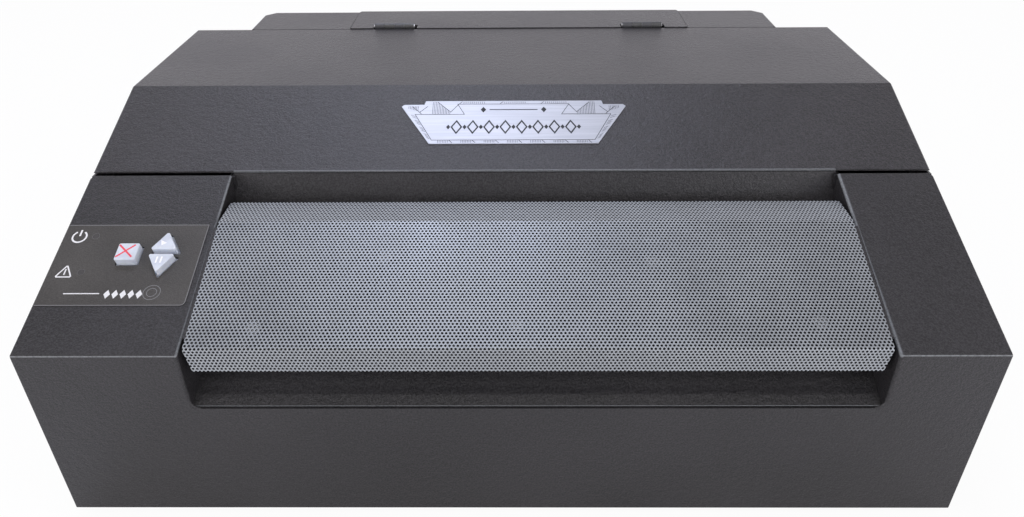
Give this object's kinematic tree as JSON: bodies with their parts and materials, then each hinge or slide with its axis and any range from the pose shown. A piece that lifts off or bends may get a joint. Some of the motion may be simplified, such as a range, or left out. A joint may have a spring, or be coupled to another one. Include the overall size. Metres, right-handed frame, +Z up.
{
  "type": "braille embosser",
  "caption": "Desktop braille embosser: tractor-fed punching head in a sheet-metal casing with sloping lid, perforated paper ramp and rear hood.",
  "frame": {"origin": "middle of the footprint, on the surface that the feet stand on", "axes": "+X to the right seen from the front, +Y to the back, +Z up; the paper outlet faces -Y"},
  "size_m": [0.5752, 0.4164, 0.2185],
  "materials": {
    "belt_black": "toothed rubber belt",
    "bush_bronze": "sintered bronze",
    "cast_alloy": "machined aluminium",
    "chassis_coat": "fine-textured charcoal powder coat, satin",
    "circuit_board": "green solder mask",
    "coil_black": "taped coil",
    "deck_coat": "fine-textured charcoal powder coat, satin",
    "fan_black": "moulded black plastic",
    "foot_rubber": "moulded black rubber",
    "gear_white": "moulded white acetal",
    "ground_steel": "ground and polished rod",
    "hinge_metal": "blackened steel with bright knuckles",
    "key_plastic": "pale translucent moulding, smooth",
    "label_print": "printed overlay, satin",
    "lamp_lens": "clear light guide",
    "lid_coat": "fine-textured charcoal powder coat, satin",
    "motor_black": "black coated motor with bright end caps",
    "plate_metal": "etched dark silver plate, satin",
    "ramp_metal": "perforated zinc-plated sheet, matt",
    "roller_rubber": "ground black rubber",
    "screw_black": "blackened screw",
    "supply_case": "folded aluminium case",
    "tractor_blue": "moulded blue plastic",
    "tractor_grey": "moulded grey plastic",
    "zinc_steel": "zinc-plated sheet steel"
  },
  "bodies": {
    "chassis": {"front_casing": "deck_coat", "left_side_panel": "chassis_coat", "right_side_panel": "chassis_coat", "bottom_pan": "chassis_coat", "rear_panel": "chassis_coat", "hood_left": "lid_coat", "hood_right": "lid_coat", "rear_cover": "lid_coat", "throat_wall": "deck_coat", "chute_floor": "deck_coat", "perforated_ramp": "ramp_metal", "ramp_brackets": "deck_coat", "cover_hinge_leaves": "hinge_metal", "feet": "foot_rubber", "lid_buffers": "foot_rubber", "case_screws": "screw_black", "control_label": "label_print", "indicator_lamps": "lamp_lens", "switch_board": "circuit_board", "left_frame": "zinc_steel", "right_frame": "zinc_steel", "guide_rods": "ground_steel", "shaft_bushes": "bush_bronze", "anvil_beam": "cast_alloy", "paper_guide": "zinc_steel", "head_belt": "belt_black", "head_motor": "motor_black", "feed_motor": "motor_black", "feed_belt": "belt_black", "power_supply": "supply_case", "main_board": "circuit_board", "data_ports": "zinc_steel", "fan_frame": "fan_black", "power_entry": "fan_black"},
    "lid": {"lid": "lid_coat", "badge_plate": "plate_metal", "lid_hinge_leaves": "hinge_metal"},
    "cancel_key": {"cancel_key": "key_plastic"},
    "run_key": {"run_key": "key_plastic"},
    "pause_key": {"pause_key": "key_plastic"},
    "head": {"head_carriage": "cast_alloy", "punch_solenoids": "coil_black"},
    "punches": {"punch_pins": "ground_steel"},
    "head_drive_pulley": {"head_drive_pulley": "cast_alloy"},
    "head_idler_pulley": {"head_idler_pulley": "cast_alloy"},
    "drive": {"drive_shaft": "ground_steel", "drive_gear": "gear_white"},
    "feed_pinion": {"feed_pinion": "bush_bronze"},
    "exit_roller": {"exit_roller": "roller_rubber"},
    "pinch_roller": {"pinch_roller": "ground_steel"},
    "left_tractor": {"left_tractor": "tractor_grey"},
    "right_tractor": {"right_tractor": "tractor_grey"},
    "left_pin_wheel": {"left_pin_wheel": "tractor_grey"},
    "right_pin_wheel": {"right_pin_wheel": "tractor_grey"},
    "left_tractor_door": {"left_tractor_door": "tractor_blue"},
    "right_tractor_door": {"right_tractor_door": "tractor_blue"},
    "left_lock_lever": {"left_lock_lever": "tractor_blue"},
    "right_lock_lever": {"right_lock_lever": "tractor_blue"},
    "fan_rotor": {"fan_rotor": "fan_black"},
    "power_rocker": {"power_rocker": "fan_black"}
  },
  "joints": [
    {"name": "lid_hinge", "type": "hinge", "parent": "chassis", "child": "lid", "pos_m": [0, 0.1544, 0.21555], "axis": [-1, 0, 0], "range_deg": [0, 105]},
    {"name": "cancel_key_press", "type": "slide", "parent": "chassis", "child": "cancel_key", "axis": [0, 0.342, -0.9397], "range_m": [0, 0.0015], "stiffness_N_per_m": 400},
    {"name": "run_key_press", "type": "slide", "parent": "chassis", "child": "run_key", "axis": [0, 0.342, -0.9397], "range_m": [0, 0.0015], "stiffness_N_per_m": 400},
    {"name": "pause_key_press", "type": "slide", "parent": "chassis", "child": "pause_key", "axis": [0, 0.342, -0.9397], "range_m": [0, 0.0015], "stiffness_N_per_m": 400},
    {"name": "head_travel", "type": "slide", "parent": "chassis", "child": "head", "axis": [1, 0, 0], "range_m": [0, 0.343]},
    {"name": "punch_stroke", "type": "slide", "parent": "head", "child": "punches", "axis": [0, 0, -1], "range_m": [0, 0.0018], "stiffness_N_per_m": 300},
    {"name": "head_drive_turn", "type": "hinge", "parent": "chassis", "child": "head_drive_pulley", "pos_m": [-0.2352, -0.0162, 0.17695], "axis": [0, 0, 1], "continuous": true},
    {"name": "head_idler_turn", "type": "hinge", "parent": "chassis", "child": "head_idler_pulley", "pos_m": [0.2458, -0.0162, 0.17695], "axis": [0, 0, 1], "continuous": true},
    {"name": "drive_turn", "type": "hinge", "parent": "chassis", "child": "drive", "pos_m": [0, 0.0918, 0.15278], "axis": [1, 0, 0], "continuous": true},
    {"name": "feed_motor_turn", "type": "hinge", "parent": "chassis", "child": "feed_pinion", "pos_m": [0, 0.0918, 0.09978], "axis": [1, 0, 0], "continuous": true},
    {"name": "exit_turn", "type": "hinge", "parent": "chassis", "child": "exit_roller", "pos_m": [0, -0.05777, 0.15884], "axis": [1, 0, 0], "continuous": true},
    {"name": "pinch_turn", "type": "hinge", "parent": "chassis", "child": "pinch_roller", "pos_m": [0, -0.05777, 0.17525], "axis": [1, 0, 0], "continuous": true},
    {"name": "left_tractor_slide", "type": "slide", "parent": "chassis", "child": "left_tractor", "axis": [1, 0, 0], "range_m": [0, 0.02]},
    {"name": "right_tractor_slide", "type": "slide", "parent": "chassis", "child": "right_tractor", "axis": [1, 0, 0], "range_m": [-0.28, 0]},
    {"name": "left_wheel_turn", "type": "hinge", "parent": "left_tractor", "child": "left_pin_wheel", "pos_m": [-0.1795, 0.0918, 0.15278], "axis": [1, 0, 0], "continuous": true},
    {"name": "left_door_hinge", "type": "hinge", "parent": "left_tractor", "child": "left_tractor_door", "pos_m": [-0.1873, 0.0918, 0.17075], "axis": [0, -1, 0], "range_deg": [0, 95]},
    {"name": "left_lever_turn", "type": "hinge", "parent": "left_tractor", "child": "left_lock_lever", "pos_m": [-0.1795, 0.1218, 0.15278], "axis": [1, 0, 0], "range_deg": [0, 45]},
    {"name": "right_wheel_turn", "type": "hinge", "parent": "right_tractor", "child": "right_pin_wheel", "pos_m": [0.2121, 0.0918, 0.15278], "axis": [1, 0, 0], "continuous": true},
    {"name": "right_door_hinge", "type": "hinge", "parent": "right_tractor", "child": "right_tractor_door", "pos_m": [0.2199, 0.0918, 0.17075], "axis": [0, 1, 0], "range_deg": [0, 95]},
    {"name": "right_lever_turn", "type": "hinge", "parent": "right_tractor", "child": "right_lock_lever", "pos_m": [0.2121, 0.1218, 0.15278], "axis": [1, 0, 0], "range_deg": [0, 45]},
    {"name": "fan_turn", "type": "hinge", "parent": "chassis", "child": "fan_rotor", "pos_m": [-0.12, 0.1408, 0.051], "axis": [0, 1, 0], "continuous": true},
    {"name": "power_rocker_tip", "type": "hinge", "parent": "chassis", "child": "power_rocker", "pos_m": [-0.2236, 0.1483, 0.042], "axis": [-1, 0, 0], "range_deg": [0, 15]}
  ],
  "couplings": [
    {"joint": "head_drive_turn", "follows": "head_travel", "rad_per_m": -156.99},
    {"joint": "head_idler_turn", "follows": "head_travel", "rad_per_m": -156.99},
    {"joint": "feed_motor_turn", "follows": "drive_turn", "ratio": -5.625},
    {"joint": "exit_turn", "follows": "drive_turn", "ratio": 1.6},
    {"joint": "pinch_turn", "follows": "drive_turn", "ratio": -2.695},
    {"joint": "left_wheel_turn", "follows": "drive_turn", "ratio": 1},
    {"joint": "right_wheel_turn", "follows": "drive_turn", "ratio": 1}
  ]
}
